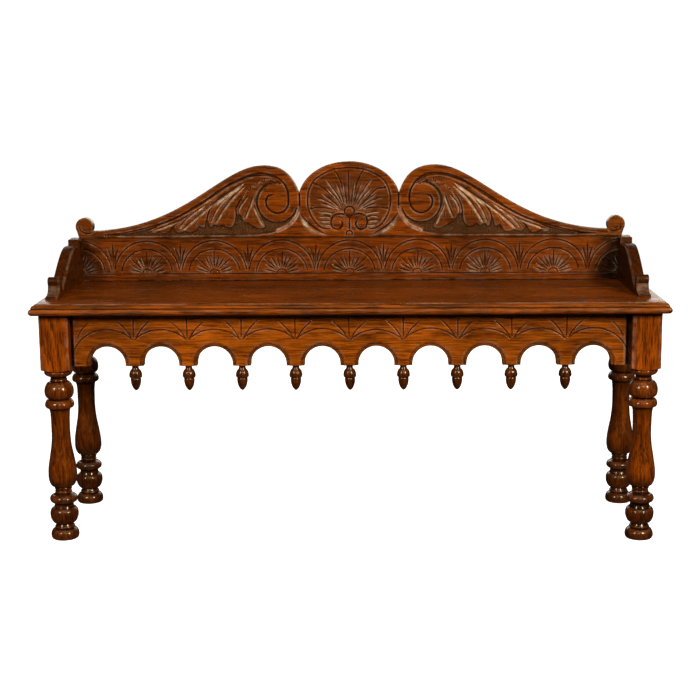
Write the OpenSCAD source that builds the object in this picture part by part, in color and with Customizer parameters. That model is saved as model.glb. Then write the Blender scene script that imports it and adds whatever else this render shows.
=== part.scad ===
// Carved oak hall bench: low scrolled back, shaped end wings, arcaded apron with acorn drops,
// four turned legs. Units are millimetres. The origin is on the floor under the middle of the
// seat, X runs along the seat, the front faces -Y and +Z is up.

/* [Seat] */
// Length of the seat over its mouldings
seat_w = 1220; // [1160:10:1360]
// Depth of the seat from the front moulding to the back edge
seat_d = 360; // [350:5:400]
// Height of the seat's top face above the floor
seat_h = 476; // [456:1:500]
// Thickness of the seat boards
seat_t = 22; // [20:1:26]
// Width of the front seat board; the rear board takes the rest
front_board_w = 205; // [180:5:220]

/* [Legs] */
// Side of the square block at the top of each leg
leg_sq = 57; // [54:1:62]
// Height of the square block
block_h = 114; // [110:1:120]
// Overhang of the seat past the blocks at each end
end_overhang = 13.5; // [8:0.5:20]
// Overhang of the seat past the blocks at the front and the back
front_overhang = 25.5; // [20:0.5:30]

/* [Rails and apron] */
// Thickness of the apron and the rails
rail_t = 22; // [20:1:24]
// Depth of the plain rails under the seat
rail_h = 90; // [80:1:100]
// Depth of the apron down to the feet of its drops
apron_h = 104; // [100:1:108]
// Width of each drop between two arches
drop_w = 35; // [32:1:38]
// Step of the apron and the rails behind the faces of the blocks
reveal = 12; // [10:0.5:13]
// Length of an acorn pendant below its drop
acorn_l = 50; // [44:1:54]

/* [Back] */
// Thickness of the back boards
back_t = 20; // [18:1:22]
// Height of the frieze board
frieze_h = 92; // [88:1:96]
// Height of the crest board at the middle of the roundel
crest_h = 157; // [150:1:164]
// Thickness of the upright battens behind the back
batten_t = 12; // [10:1:14]
// Offset of the back and the wings to one side of the seat's middle
back_shift = -5; // [-8:1:8]

/* [Wings] */
// Thickness of each wing
wing_t = 24; // [22:1:26]
// Length of each wing in front of the back boards
wing_d = 258; // [250:1:262]

/* [Hidden] */
ARCHES = 10;

// Wood and metal colours
oak = [0.42, 0.20, 0.07];
oak_dark = [0.30, 0.14, 0.06];
oak_raw = [0.62, 0.45, 0.28];
steel = [0.45, 0.43, 0.40];

$fn = 48;
// Run-out of a cutter past the face it cuts
e = 1;

// Main planes and leg places
under = seat_h - seat_t;
front_y = -seat_d / 2;
leg_x = seat_w / 2 - end_overhang - leg_sq / 2;
leg_y = seat_d / 2 - front_overhang - leg_sq / 2;
turned_h = under - block_h;
face_x = leg_x + leg_sq / 2 - reveal;
face_y = leg_y + leg_sq / 2 - reveal;
span_x = leg_x - leg_sq / 2;
span_y = leg_y - leg_sq / 2;

// Tenons: thickness, step in from the rail's face, length, and shoulders above and below
tenon_t = 10;
tenon_in = 3.5;
tenon_l = 24;
tenon_top = 10;
tenon_foot = 16;

// Arcade of the apron: pitch, arch radius, straight foot, and the rebate round each arch
apron_end = 19.5;
apron_z = under - apron_h;
pitch = 2 * (span_x - apron_end) / ARCHES;
arch_r = (pitch - drop_w) / 2;
arch_rise = 3.5;
rebate_w = 7;
rebate_d = 2;
spigot_r = 5;
spigot_l = 14;
acorn_y = -face_y + rail_t / 2;

// Back boards, their joint and the battens behind them
wing_inset = 24;
batten_y = seat_d / 2 - batten_t;
back_y = batten_y - back_t;
back_mid = back_y + back_t / 2;
frieze_x = seat_w / 2 - wing_inset;
wing_x = frieze_x - wing_t / 2;
joint_z = seat_h + frieze_h;
batten_w = 45;
batten_l = 134;
batten_x = 330;

// Lunettes of the frieze: the outer ones are cut by the board's ends
lunette_pitch = (frieze_x - 16) / 4;
lunette_z = 15;
lunette_in = 55;
lunette_out = 70;
groove_w = 2;
groove_d = 2;

// Glue blocks, dowels and screws
block_l = 70;
block_s = 28;
block_x = 350;
block_screw_y = face_y - rail_t - 12;
dowel_r = 5;
dowel_l = 36;
wing_dowel_r = 4;
wing_dowel_l = 34;
seat_screw_l = 40;
back_screw_l = 46;
back_screw_x = 240;
wing_screw_l = 45;
batten_screw_l = 27;

// ---- curves ----

// Cubic curve through p[0] and p[3]
function bezier(p, n) = [
    for (i = [0:n]) let (t = i / n, s = 1 - t)
        s*s*s * p[0] + 3*s*s*t * p[1] + 3*s*t*t * p[2] + t*t*t * p[3]
];
// Arc of an ellipse about c with half axes a and b, from angle a0 to a1
function arc(c, a, b, a0, a1, n) = [
    for (i = [0:n]) let (t = a0 + (a1 - a0) * i / n) [c[0] + a * cos(t), c[1] + b * sin(t)]
];
// Turned bead, or cove when rise is negative, from radius r0 at z0 to r1 at z1
function bead(z0, z1, r0, r1, rise, n = 8) = [
    for (i = [0:n]) let (a = 180 * i / n, t = (1 - cos(a)) / 2)
        [r0 + (r1 - r0) * t + rise * sin(a), z0 + (z1 - z0) * t]
];
// All but the first point, where a curve starts on the end of the one before
function rest(points) = [for (i = [1:len(points) - 1]) points[i]];
function mirrored(points) = [for (i = [len(points) - 1:-1:0]) [-points[i][0], points[i][1]]];

// ---- fasteners ----

// Countersunk wood screw, its head at the origin and its point towards +Z
module wood_screw(l) {
    cylinder(h = 3, r1 = 4.5, r2 = 2.2);
    translate([0, 0, 3]) cylinder(h = l - 9, r = 2.2);
    translate([0, 0, l - 6]) cylinder(h = 6, r1 = 2.2, r2 = 0.5);
}

module seat_screw_set() {
    for (sy = [-1, 1]) for (i = [-1:1])
        translate([i * block_x, sy * block_screw_y, under - block_s]) wood_screw(seat_screw_l);
}
module back_screw_set() {
    for (i = [-2:2])
        translate([i * back_screw_x + back_shift, back_mid, under]) wood_screw(back_screw_l);
}
module wing_screw_set() {
    for (sx = [-1, 1]) for (z = [26, 66])
        translate([sx * wing_x + back_shift, back_y + back_t, seat_h + z])
            rotate([90, 0, 0]) wood_screw(wing_screw_l);
}
module batten_screw_set() {
    for (sx = [-1, 1]) for (z = [24, 66, 116])
        translate([sx * batten_x + back_shift, seat_d / 2, seat_h + z])
            rotate([90, 0, 0]) wood_screw(batten_screw_l);
}
module crest_dowel_set() {
    for (x = [-440, -300, -150, 0, 150, 300, 440])
        translate([x + back_shift, back_mid, joint_z - 20]) cylinder(h = dowel_l, r = dowel_r);
}
module wing_dowel_set() {
    for (sx = [-1, 1]) for (y = [-60, 80])
        translate([sx * wing_x + back_shift, y, seat_h - 14])
            cylinder(h = wing_dowel_l, r = wing_dowel_r);
}

// ---- seat ----

// Cutter for the moulded edge: the air outside the profile, drawn in depth and height
module edge_air(l) {
    nose = seat_t * 0.25;
    air = concat(
        [[-e, -e], [nose, -e]],
        arc([nose, nose], nose, nose, 270, 120, 10),
        arc([9, nose * 2], 6.5, seat_t - 2 - nose * 2, 180, 90, 6),
        [[10.5, seat_t - 2], [10.5, seat_t + e], [-e, seat_t + e]]
    );
    rotate([90, 0, 90]) linear_extrude(height = l, center = true) polygon(air);
}
module moulded_slab(y0, y1) {
    difference() {
        translate([-seat_w / 2, y0, under]) cube([seat_w, y1 - y0, seat_t]);
        translate([0, front_y, under]) edge_air(seat_w + 4 * e);
        for (a = [90, -90])
            rotate([0, 0, a]) translate([0, -seat_w / 2, under]) edge_air(seat_d + 4 * e);
        seat_screw_set();
        back_screw_set();
        wing_dowel_set();
    }
}
module seat_front_board() { color(oak_dark) moulded_slab(front_y, front_y + front_board_w); }
module seat_rear_board() { color(oak_dark) moulded_slab(front_y + front_board_w, seat_d / 2); }

// ---- legs ----

// Half outline of the turning, for a length of 340 and a 57 block
turning = concat(
    [[0, 0]],
    bead(0, 21, 23.5, 20.5, 5.6),
    bead(22, 27.5, 18.5, 17.8, 1.5, 6),
    [[16.4, 30.8]],
    bead(32, 64, 17, 20.5, 9, 12),
    [[18.8, 68.5], [18.8, 73.5]],
    bead(74.5, 90.5, 20.5, 19.5, 7.2),
    [[16.2, 92.5]],
    bead(93.5, 99, 15.2, 15.2, 1.4, 6),
    bead(100, 106, 15.2, 16, 1.2, 6),
    [for (a = [0:15:90]) [17.5 + 10.7 * sin(a), 129 - 22 * cos(a)]],
    [for (t = [0.1:0.1:1]) [18.1 + 10.1 * pow((1 + cos(180 * t)) / 2, 1.4), 129 + 96 * t]],
    [[18.4, 245], [19.2, 258], [21, 264.5]],
    bead(266, 283, 24, 20.3, 5.9),
    bead(285, 318, 20.6, 17, 9.4, 12),
    bead(318.8, 323, 15.8, 15.5, 0.9, 6),
    [[15.5, 326.5]],
    bead(329, 340, 19, 24.5, 5),
    [[0, 340]]
);
module leg() {
    kr = leg_sq / 57;
    kz = turned_h / 340;
    corner = leg_sq / 2 * sqrt(2);
    difference() {
        union() {
            rotate_extrude($fn = 64) polygon([for (p = turning) [p[0] * kr, p[1] * kz]]);
            intersection() {
                translate([-leg_sq / 2, -leg_sq / 2, turned_h]) cube([leg_sq, leg_sq, block_h]);
                union() {
                    translate([0, 0, turned_h])
                        cylinder(h = 5, r1 = leg_sq / 2 - 2, r2 = corner + 0.5, $fn = 64);
                    translate([0, 0, turned_h + 5]) cylinder(h = block_h, r = corner + 0.5, $fn = 64);
                }
            }
        }
        tenon_x(apron_h);
        tenon_y(rail_h);
    }
}
// Tenon of the apron or the rear rail, seen from the leg's own axis
module tenon_x(h) {
    y = leg_sq / 2 - reveal - tenon_in - tenon_t;
    translate([-leg_sq / 2, y, under - h + tenon_foot])
        cube([tenon_l, tenon_t, h - tenon_foot - tenon_top]);
}
// Tenon of an end rail, seen from the leg's own axis
module tenon_y(h) {
    x = leg_sq / 2 - reveal - tenon_in - tenon_t;
    translate([x, -leg_sq / 2, under - h + tenon_top])
        cube([tenon_t, tenon_l, h - 2 * tenon_top]);
}
// Puts a child drawn for the rear right corner at any corner
module at_corner(sx, sy) {
    mirror([sx < 0 ? 1 : 0, 0, 0]) mirror([0, sy < 0 ? 1 : 0, 0])
        translate([leg_x, leg_y, 0]) children();
}
module front_left_leg() { color(oak) at_corner(-1, -1) leg(); }
module front_right_leg() { color(oak) at_corner(1, -1) leg(); }
module rear_left_leg() { color(oak) at_corner(-1, 1) leg(); }
module rear_right_leg() { color(oak) at_corner(1, 1) leg(); }

// ---- apron and rails ----

module arch_cut(i, r, depth) {
    x = (i - (ARCHES - 1) / 2) * pitch;
    translate([x, -face_y - e, apron_z + arch_rise]) rotate([-90, 0, 0]) cylinder(h = depth + e, r = r);
    translate([x - r, -face_y - e, apron_z - e]) cube([2 * r, depth + e, arch_rise + e]);
}
function drop_x(i) = (i - ARCHES / 2) * pitch;

module front_apron() {
    color(oak) difference() {
        union() {
            translate([-span_x, -face_y, apron_z]) cube([2 * span_x, rail_t, apron_h]);
            for (sx = [-1, 1]) at_corner(sx, -1) tenon_x(apron_h);
        }
        for (i = [0:ARCHES - 1]) {
            arch_cut(i, arch_r, rail_t + e);
            arch_cut(i, arch_r + rebate_w, rebate_d);
        }
        for (i = [1:ARCHES - 1])
            translate([drop_x(i), acorn_y, apron_z - e])
                cylinder(h = spigot_l + e, r = spigot_r);
    }
}
module rear_rail() {
    color(oak_dark) {
        translate([-span_x, face_y - rail_t, under - rail_h]) cube([2 * span_x, rail_t, rail_h]);
        for (sx = [-1, 1]) at_corner(sx, 1) tenon_x(apron_h);
    }
}
module end_rail(sx) {
    color(oak_dark) union() {
        translate([sx > 0 ? face_x - rail_t : -face_x, -span_y, under - rail_h])
            cube([rail_t, 2 * span_y, rail_h]);
        for (sy = [-1, 1]) at_corner(sx, sy) tenon_y(rail_h);
    }
}
module left_end_rail() { end_rail(-1); }
module right_end_rail() { end_rail(1); }

// ---- acorn pendants ----

module acorn(i) {
    k = acorn_l / 50;
    body = concat(
        [[0, 0], [7, 0], [6.4, -4 * k]],
        bead(-8 * k, -24 * k, 7.6, 10.8, 3.2),
        [[9.6, -25 * k], [10.2, -26.5 * k]],
        [for (a = [0:15:75]) [10.3 * pow(cos(a), 1.25), (-28 - 22 * sin(a)) * k]],
        [[0, -50 * k]]
    );
    color(oak_dark) translate([drop_x(i), acorn_y, apron_z]) {
        rotate_extrude() polygon(body);
        cylinder(h = spigot_l, r = spigot_r);
    }
}
module acorn_pendant_1() { acorn(1); }
module acorn_pendant_2() { acorn(2); }
module acorn_pendant_3() { acorn(3); }
module acorn_pendant_4() { acorn(4); }
module acorn_pendant_5() { acorn(5); }
module acorn_pendant_6() { acorn(6); }
module acorn_pendant_7() { acorn(7); }
module acorn_pendant_8() { acorn(8); }
module acorn_pendant_9() { acorn(9); }

// ---- back ----

// Stands an outline drawn in X and Z up against the front face of the back
module on_back(t) {
    translate([back_shift, back_y + t, 0]) rotate([90, 0, 0]) linear_extrude(height = t) children();
}
// Half-round groove of radius r in the face of the frieze, cut about x
module lunette_groove(x, r) {
    translate([x + back_shift, back_y - e, seat_h + lunette_z]) rotate([-90, 0, 0]) intersection() {
        difference() {
            cylinder(h = groove_d + e, r = r + groove_w / 2);
            translate([0, 0, -e]) cylinder(h = groove_d + 3 * e, r = r - groove_w / 2);
        }
        translate([-r - e, -r - e, 0]) cube([2 * (r + e), r + e, groove_d + e]);
    }
}
// Fan of straight flutes inside a lunette
module lunette_fan(x) {
    for (a = [15:15:165])
        translate([x + back_shift, back_y - e, seat_h + lunette_z]) rotate([0, -a, 0])
            translate([12, 0, -groove_w / 2]) cube([a % 45 == 0 ? 38 : 28, groove_d + e, groove_w]);
}
module frieze_board() {
    color(oak) difference() {
        translate([back_shift - frieze_x, back_y, seat_h]) cube([2 * frieze_x, back_t, frieze_h]);
        for (i = [-3:3]) {
            lunette_groove(i * lunette_pitch, lunette_in);
            lunette_groove(i * lunette_pitch, lunette_out);
            lunette_fan(i * lunette_pitch);
        }
        back_screw_set();
        wing_screw_set();
        batten_screw_set();
        crest_dowel_set();
    }
}
// Right half of the crest's outline: roundel, hump from the notch beside it, and end scroll
roundel_c = [0, 78];
roundel_a = 106;
roundel_b = 79;
ring_w = 21;
volute_c = [557, 23.5];
volute_r = 18.5;
notch_a = 10.2;
notch = roundel_c + [roundel_a * cos(notch_a), roundel_b * sin(notch_a)];
crest_half = concat(
    arc(roundel_c, roundel_a, roundel_b, 90, notch_a, 12),
    rest(bezier([notch, [117.5, 130.7], [137.5, 149.6], [179, 149.6]], 8)),
    rest(bezier([[179, 149.6], [268, 149.6], [345, 18], [541, 14.25]], 16)),
    arc(volute_c, volute_r, volute_r, 205, -30, 20),
    [[569, 0]]
);

module crest_board() {
    k = crest_h / 157;
    kx = frieze_x / 586;
    half = [for (p = crest_half) [p[0] * kx, p[1] * k]];
    color(oak) difference() {
        translate([0, 0, joint_z]) on_back(back_t) polygon(concat(half, mirrored(rest(half))));
        translate([0, 0, joint_z]) roundel_groove(kx, k);
        batten_screw_set();
        crest_dowel_set();
    }
}
// Oval groove inside the ring of the roundel, open at the foot
module roundel_groove(kx, kz) {
    c = [0, roundel_c[1] * kz];
    a = (roundel_a - ring_w) * kx;
    b = (roundel_b - ring_w * 0.8) * kz;
    translate([0, -back_t + groove_d, 0]) on_back(back_t) polygon(concat(
        arc(c, a + groove_w / 2, b + groove_w / 2, -60, 240, 60),
        arc(c, a - groove_w / 2, b - groove_w / 2, 240, -60, 60)
    ));
}
module back_batten(sx) {
    color(oak_dark) difference() {
        translate([sx * batten_x + back_shift - batten_w / 2, batten_y, seat_h])
            cube([batten_w, batten_t, batten_l]);
        batten_screw_set();
    }
}
module left_back_batten() { back_batten(-1); }
module right_back_batten() { back_batten(1); }

// ---- wings ----

// Side outline of a wing, measured forwards from the back boards and up from the seat
wing_side = concat(
    [[0, 0], [0, 92], [32, 92], [32, 81]],
    bezier([[60, 82], [98, 84], [128, 66], [206, 14]], 12),
    arc([225, 31], 9, 9, 199, -30, 16),
    bezier([[231, 24], [231, 10], [244, 6], [255, 6]], 6),
    [[258, 4], [258, 0]]
);
module wing(sx) {
    ky = wing_d / 258;
    kz = frieze_h / 92;
    color(oak) difference() {
        translate([sx * wing_x + back_shift, back_y, seat_h])
            rotate([90, 0, -90]) linear_extrude(height = wing_t, center = true)
                polygon([for (p = wing_side) [p[0] * ky, p[1] * kz]]);
        wing_screw_set();
        wing_dowel_set();
    }
}
module left_wing() { wing(-1); }
module right_wing() { wing(1); }

// ---- glue blocks and fasteners ----

module glue_blocks(sy) {
    color(oak_raw) difference() {
        for (i = [-1:1]) translate([i * block_x, 0, 0]) mirror([0, sy > 0 ? 1 : 0, 0])
            translate([0, -face_y + rail_t, under]) rotate([90, 0, 90])
                linear_extrude(height = block_l, center = true)
                    polygon([[0, 0], [0, -block_s], [16, -block_s], [block_s, -12], [block_s, 0]]);
        seat_screw_set();
    }
}
module front_glue_blocks() { glue_blocks(-1); }
module rear_glue_blocks() { glue_blocks(1); }
module crest_dowels() { color(oak_raw) crest_dowel_set(); }
module wing_dowels() { color(oak_raw) wing_dowel_set(); }
module seat_screws() { color(steel) seat_screw_set(); }
module back_screws() { color(steel) back_screw_set(); }
module wing_screws() { color(steel) wing_screw_set(); }
module batten_screws() { color(steel) batten_screw_set(); }

seat_front_board();
seat_rear_board();
front_left_leg();
front_right_leg();
rear_left_leg();
rear_right_leg();
front_apron();
rear_rail();
left_end_rail();
right_end_rail();
acorn_pendant_1();
acorn_pendant_2();
acorn_pendant_3();
acorn_pendant_4();
acorn_pendant_5();
acorn_pendant_6();
acorn_pendant_7();
acorn_pendant_8();
acorn_pendant_9();
frieze_board();
crest_board();
left_wing();
right_wing();
left_back_batten();
right_back_batten();
front_glue_blocks();
rear_glue_blocks();
crest_dowels();
wing_dowels();
seat_screws();
back_screws();
wing_screws();
batten_screws();
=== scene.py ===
"""Looks of the carved oak hall bench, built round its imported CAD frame.

Drawings of boards and turnings are in millimetres, as in the CAD. Meshes are in metres in the
row frame: X along the seat, front towards -Y, Z up, origin on the floor under the seat.
"""

import math

import bpy
import numpy as np
from mathutils import Matrix, Vector


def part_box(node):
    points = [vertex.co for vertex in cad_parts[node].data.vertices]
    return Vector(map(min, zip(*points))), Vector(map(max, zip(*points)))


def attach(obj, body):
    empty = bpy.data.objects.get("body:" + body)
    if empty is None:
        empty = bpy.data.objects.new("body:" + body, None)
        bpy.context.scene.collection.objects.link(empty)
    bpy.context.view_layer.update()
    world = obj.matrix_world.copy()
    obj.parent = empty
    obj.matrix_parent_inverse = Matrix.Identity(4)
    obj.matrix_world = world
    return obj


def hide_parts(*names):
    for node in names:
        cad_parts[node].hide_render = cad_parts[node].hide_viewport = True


MM = 0.001
PITCH = 0.8  # grid of the carved faces, in mm
FULL_HOLLOW = 0.85  # depth below its surroundings at which a point counts as fully hollow
FULL_RIDGE = 0.7
FULL_SUNK = 4.0
rng = np.random.default_rng(1885)

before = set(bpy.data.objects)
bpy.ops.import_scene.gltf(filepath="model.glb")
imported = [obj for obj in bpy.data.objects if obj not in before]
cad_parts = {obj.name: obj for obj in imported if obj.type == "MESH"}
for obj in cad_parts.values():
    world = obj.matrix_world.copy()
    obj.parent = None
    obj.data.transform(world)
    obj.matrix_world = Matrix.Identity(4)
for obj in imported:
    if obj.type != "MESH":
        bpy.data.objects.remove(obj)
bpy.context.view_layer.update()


def box_mm(node):
    """Lowest and highest corner of a CAD node in millimetres."""
    lo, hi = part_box(node)
    return np.array(lo) / MM, np.array(hi) / MM


# ---- curves ----


def bezier(a, b, c, d, n=16):
    """Cubic curve from a to d."""
    a, b, c, d = (np.array(p, float) for p in (a, b, c, d))
    t = np.linspace(0, 1, n + 1)[:, None]
    s = 1 - t
    return s**3 * a + 3 * s * s * t * b + 3 * s * t * t * c + t**3 * d


def arc(centre, a, b, start, end, n=24):
    """Arc of an ellipse with half axes a and b, angles in degrees."""
    t = np.radians(np.linspace(start, end, n + 1))
    return np.column_stack([centre[0] + a * np.cos(t), centre[1] + b * np.sin(t)])


def through(points, n=6):
    """Smooth curve through the points."""
    p = np.array(points, float)
    p = np.vstack([2 * p[0] - p[1], p, 2 * p[-1] - p[-2]])
    t = np.linspace(0, 1, n, endpoint=False)[:, None]
    spans = []
    for a, b, c, d in zip(p, p[1:], p[2:], p[3:]):
        turn = 2 * a - 5 * b + 4 * c - d
        bend = 3 * b - a - 3 * c + d
        spans.append(b + 0.5 * ((c - a) * t + turn * t**2 + bend * t**3))
    return np.vstack(spans + [p[-2:-1]])


def smooth(t):
    """Eased step from 0 to 1."""
    t = np.clip(t, 0, 1)
    return t * t * (3 - 2 * t)


def bead(z0, z1, r0, r1, rise, n=12):
    """Turned bead, or cove when rise is negative, as (radius, height) points."""
    a = np.radians(np.linspace(0, 180, n + 1))
    t = (1 - np.cos(a)) / 2
    return np.column_stack([r0 + (r1 - r0) * t + rise * np.sin(a), z0 + (z1 - z0) * t])


def ripple(x, z, wave, seed):
    """Smooth random surface of about -1 to 1, with features about one wave long."""
    draw = np.random.default_rng(seed)
    total = np.zeros_like(x)
    for _ in range(9):
        heading = draw.uniform(0, math.pi)
        k = draw.uniform(0.6, 1.7) * 2 * math.pi / wave
        phase = draw.uniform(0, 2 * math.pi)
        total += np.sin(k * (x * math.cos(heading) + z * math.sin(heading)) + phase)
    return total / 4.5


# ---- mesh making ----


def blur(values, cells):
    """Mean over a square of cells either side."""
    size = 2 * cells + 1
    for axis in (0, 1):
        pad = [(0, 0), (0, 0)]
        pad[axis] = (cells + 1, cells)
        total = np.cumsum(np.pad(values, pad, mode="edge"), axis=axis)
        n = values.shape[axis]
        upper = np.take(total, range(size, size + n), axis=axis)
        lower = np.take(total, range(n), axis=axis)
        values = (upper - lower) / size
    return values


def make_piece(name, verts, faces, finish, nodes, marks, angle=38, body="root"):
    """New mesh object from points in mm. marks are float attributes, one value a point."""
    mesh = bpy.data.meshes.new(name)
    mesh.from_pydata((np.asarray(verts) * MM).tolist(), [], faces)
    for key, values in marks.items():
        layer = mesh.attributes.new(key, "FLOAT", "POINT")
        layer.data.foreach_set("value", np.asarray(values, np.float32))
    mesh.validate()
    mesh.update()
    mesh.polygons.foreach_set("use_smooth", [True] * len(mesh.polygons))
    mesh.set_sharp_from_angle(angle=math.radians(angle))
    mesh.materials.append(finish)
    obj = bpy.data.objects.new(name, mesh)
    bpy.context.scene.collection.objects.link(obj)
    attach(obj, body)
    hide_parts(*nodes)


def skin(rings, caps=True):
    """Points and faces that join closed rings of equal length; caps are single faces."""
    rings = np.asarray(rings, float)
    count, n = rings.shape[:2]
    faces = []
    for k in range(count - 1):
        for i in range(n):
            j = (i + 1) % n
            faces.append((k * n + i, k * n + j, (k + 1) * n + j, (k + 1) * n + i))
    if caps:
        faces.append(tuple(range(n - 1, -1, -1)))
        faces.append(tuple(range((count - 1) * n, count * n)))
    return rings.reshape(-1, 3), faces


def inside(outline, x, rows):
    """Even-odd test against a closed outline, for a grid of x whose columns lie on those rows."""
    found = np.zeros(x.shape, bool)
    for (xa, za), (xb, zb) in zip(outline, np.roll(outline, -1, 0)):
        hit = np.nonzero((za > rows) != (zb > rows))[0]
        if len(hit):
            cross = xa + (rows[hit] - za) / (zb - za) * (xb - xa)
            found[:, hit] ^= x[:, hit] < cross
    return found


class Board:
    """A board with a fine grid for its face, into which depths are cut.

    The outline is closed and runs anticlockwise in the board's own x and z. Cells whose middle
    is inside are kept, and points on their rim are pulled onto the outline.
    """

    def __init__(self, outline):
        self.outline = np.asarray(outline, float)
        lo, hi = self.outline.min(0), self.outline.max(0)
        cells = np.ceil((hi - lo) / PITCH).astype(int)
        self.lo = lo
        self.step = (hi - lo) / cells
        x = np.linspace(lo[0], hi[0], cells[0] + 1)
        z = np.linspace(lo[1], hi[1], cells[1] + 1)
        self.rows = z
        self.x, self.z = np.meshgrid(x, z, indexing="ij")
        middle_x, middle_z = self.x[:-1, :-1] + self.step[0] / 2, z[:-1] + self.step[1] / 2
        self.keep = inside(self.outline, middle_x, middle_z)
        self.surface = np.zeros_like(self.x)
        self.cut = np.zeros_like(self.x)
        # mark of painted highlights, laid as a pale colour
        self.bright = np.zeros_like(self.x)
        # mark of darkening towards black: soiling at joints and ends, and painted shade
        self.smoke = np.zeros_like(self.x)
        self.pull_rim()

    def pull_rim(self):
        """Moves the points between kept and dropped cells onto the outline."""
        padded = np.pad(self.keep, 1)
        around = np.stack([padded[:-1, :-1], padded[1:, :-1], padded[:-1, 1:], padded[1:, 1:]])
        self.used = around.any(0)
        self.rim = self.used & ~around.all(0)
        i, j = np.nonzero(self.rim)
        p = np.column_stack([self.x[i, j], self.z[i, j]])
        best = np.full(len(p), np.inf)
        target = p.copy()
        for a, b in zip(self.outline, np.roll(self.outline, -1, 0)):
            span = b - a
            t = np.clip(((p - a) @ span) / max(span @ span, 1e-9), 0, 1)
            q = a + t[:, None] * span
            d = np.hypot(*(p - q).T)
            closer = d < best
            best[closer] = d[closer]
            target[closer] = q[closer]
        self.x[i, j], self.z[i, j] = target.T

    def window(self, points, reach):
        """Slices of the grid that hold the points and reach round them."""
        lo = np.floor((np.min(points, 0) - reach - self.lo) / self.step).astype(int)
        hi = np.ceil((np.max(points, 0) + reach - self.lo) / self.step).astype(int) + 1
        return tuple(slice(max(a, 0), max(min(b, n), 0)) for a, b, n in zip(lo, hi, self.x.shape))

    def nearest(self, path, reach):
        """Window round a path, with each point's distance, place along (0 to 1) and signed side."""
        path = np.asarray(path, float)
        win = self.window(path, reach)
        x, z = self.x[win], self.z[win]
        dist = np.full(x.shape, reach * 2.0)
        along = np.zeros(x.shape)
        side = np.ones(x.shape)
        lengths = np.hypot(*np.diff(path, axis=0).T)
        run = np.concatenate([[0], np.cumsum(lengths)]) / lengths.sum()
        corner = [w.start for w in win]
        for k, (a, b) in enumerate(zip(path, path[1:])):
            if lengths[k] == 0:
                continue
            sub = tuple(
                slice(max(w.start - c, 0), max(w.stop - c, 0))
                for w, c in zip(self.window(np.array([a, b]), reach), corner)
            )
            dx, dz = x[sub] - a[0], z[sub] - a[1]
            ux, uz = (b - a) / lengths[k]
            t = np.clip((dx * ux + dz * uz) / lengths[k], 0, 1)
            ex, ez = dx - t * lengths[k] * ux, dz - t * lengths[k] * uz
            d = np.hypot(ex, ez)
            closer = d < dist[sub]
            dist[sub] = np.where(closer, d, dist[sub])
            along[sub] = np.where(closer, run[k] + t * (run[k + 1] - run[k]), along[sub])
            turn = np.sign(ux * dz - uz * dx)
            side[sub] = np.where(closer, turn, side[sub])
        return win, dist, along, side

    def groove(self, path, width, depth, head=0.12, tail=0.12, lean=0.0, painted_glint=0.0, soot_and_shade=0.0):
        """V cut along a path, running out over the head and tail shares of its length.

        lean widens one flank, and a painted highlight strip can be laid along that flank; the last
        share darkens the whole cut with soiling and painted shade.
        """
        win, dist, along, side = self.nearest(path, width)
        swell = np.ones_like(dist)
        if head:
            swell = swell * smooth(along / head)
        if tail:
            swell = swell * smooth((1 - along) / tail)
        half = width / 2 * swell * (1 + lean * side) + 1e-6
        d = depth * swell * np.clip(1 - dist / half, 0, 1)
        self.cut[win] = np.maximum(self.cut[win], d)
        # painted highlight: a pale strip along the wider flank
        if painted_glint:
            strip = np.exp(-(((dist / half - 0.55) / 0.26) ** 2)) * (side * lean > 0)
            self.bright[win] = np.maximum(self.bright[win], painted_glint * strip * swell)
        # darkening of the whole cut: soiling and painted shade
        if soot_and_shade:
            self.smoke[win] = np.maximum(self.smoke[win], soot_and_shade * swell * (dist < half))

    def dimple(self, centre, radius, depth):
        """Round punch mark."""
        win, d = self.disc(centre, radius)
        self.cut[win] = np.maximum(self.cut[win], depth * np.clip(1 - d * d, 0, 1))

    def enclosed(self, path, reach):
        """Window round a closed path, with the distance to it and whether a point is inside."""
        win, dist, _, _ = self.nearest(np.vstack([path, path[:1]]), reach)
        return win, dist, inside(path, self.x[win], self.rows[win[1]])

    def disc(self, centre, radius):
        """Window round a disc, with the distance from its middle as a share of its radius."""
        win = self.window(np.array([centre], float), radius)
        return win, np.hypot(self.x[win] - centre[0], self.z[win] - centre[1]) / radius

    # Darkens the face towards black: soiling at joints and board ends, and painted shade where a
    # neighbouring part shades it.
    def add_dirt_and_shade(self, amount):
        self.smoke = np.maximum(self.smoke, amount)

    def sink(self, path, depth, slope):
        """Lowers the face inside a closed path, with sides that slope over that width."""
        win, dist, within = self.enclosed(path, slope)
        d = np.maximum(self.surface[win], depth * smooth(dist / slope))
        self.surface[win] = np.where(within, d, self.surface[win])

    def lobe(self, spine, width, top, edge, frill=0.0, waves=3.0, blunt=0.2):
        """Raises a rounded leaf lobe that widens along its spine and ends blunt."""
        win, dist, along, _ = self.nearest(spine, width)
        swell = (0.25 + 0.75 * smooth(along / 0.7)) * np.sqrt(np.clip((1 - along) / blunt, 0, 1))
        half = width / 2 * swell * (1 + frill * np.abs(np.sin(math.pi * waves * along))) + 1e-6
        q = dist / half
        d = np.minimum(self.surface[win], top + (edge - top) * q**2)
        self.surface[win] = np.where(q < 1, d, self.surface[win])

    def bank(self, path, depth, reach):
        """Slopes sunk ground up to the face beside a path, with a painted highlight strip along the
        slope.
        """
        win, dist, _, _ = self.nearest(path, reach)
        d = np.minimum(self.surface[win], depth * (0.04 + 0.96 * dist / reach))
        self.surface[win] = np.where(dist < reach, d, self.surface[win])
        # painted highlight: a pale strip part way up the slope
        strip = 0.95 * np.exp(-(((dist / reach - 0.32) / 0.22) ** 2))
        self.bright[win] = np.maximum(self.bright[win], strip)

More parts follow.
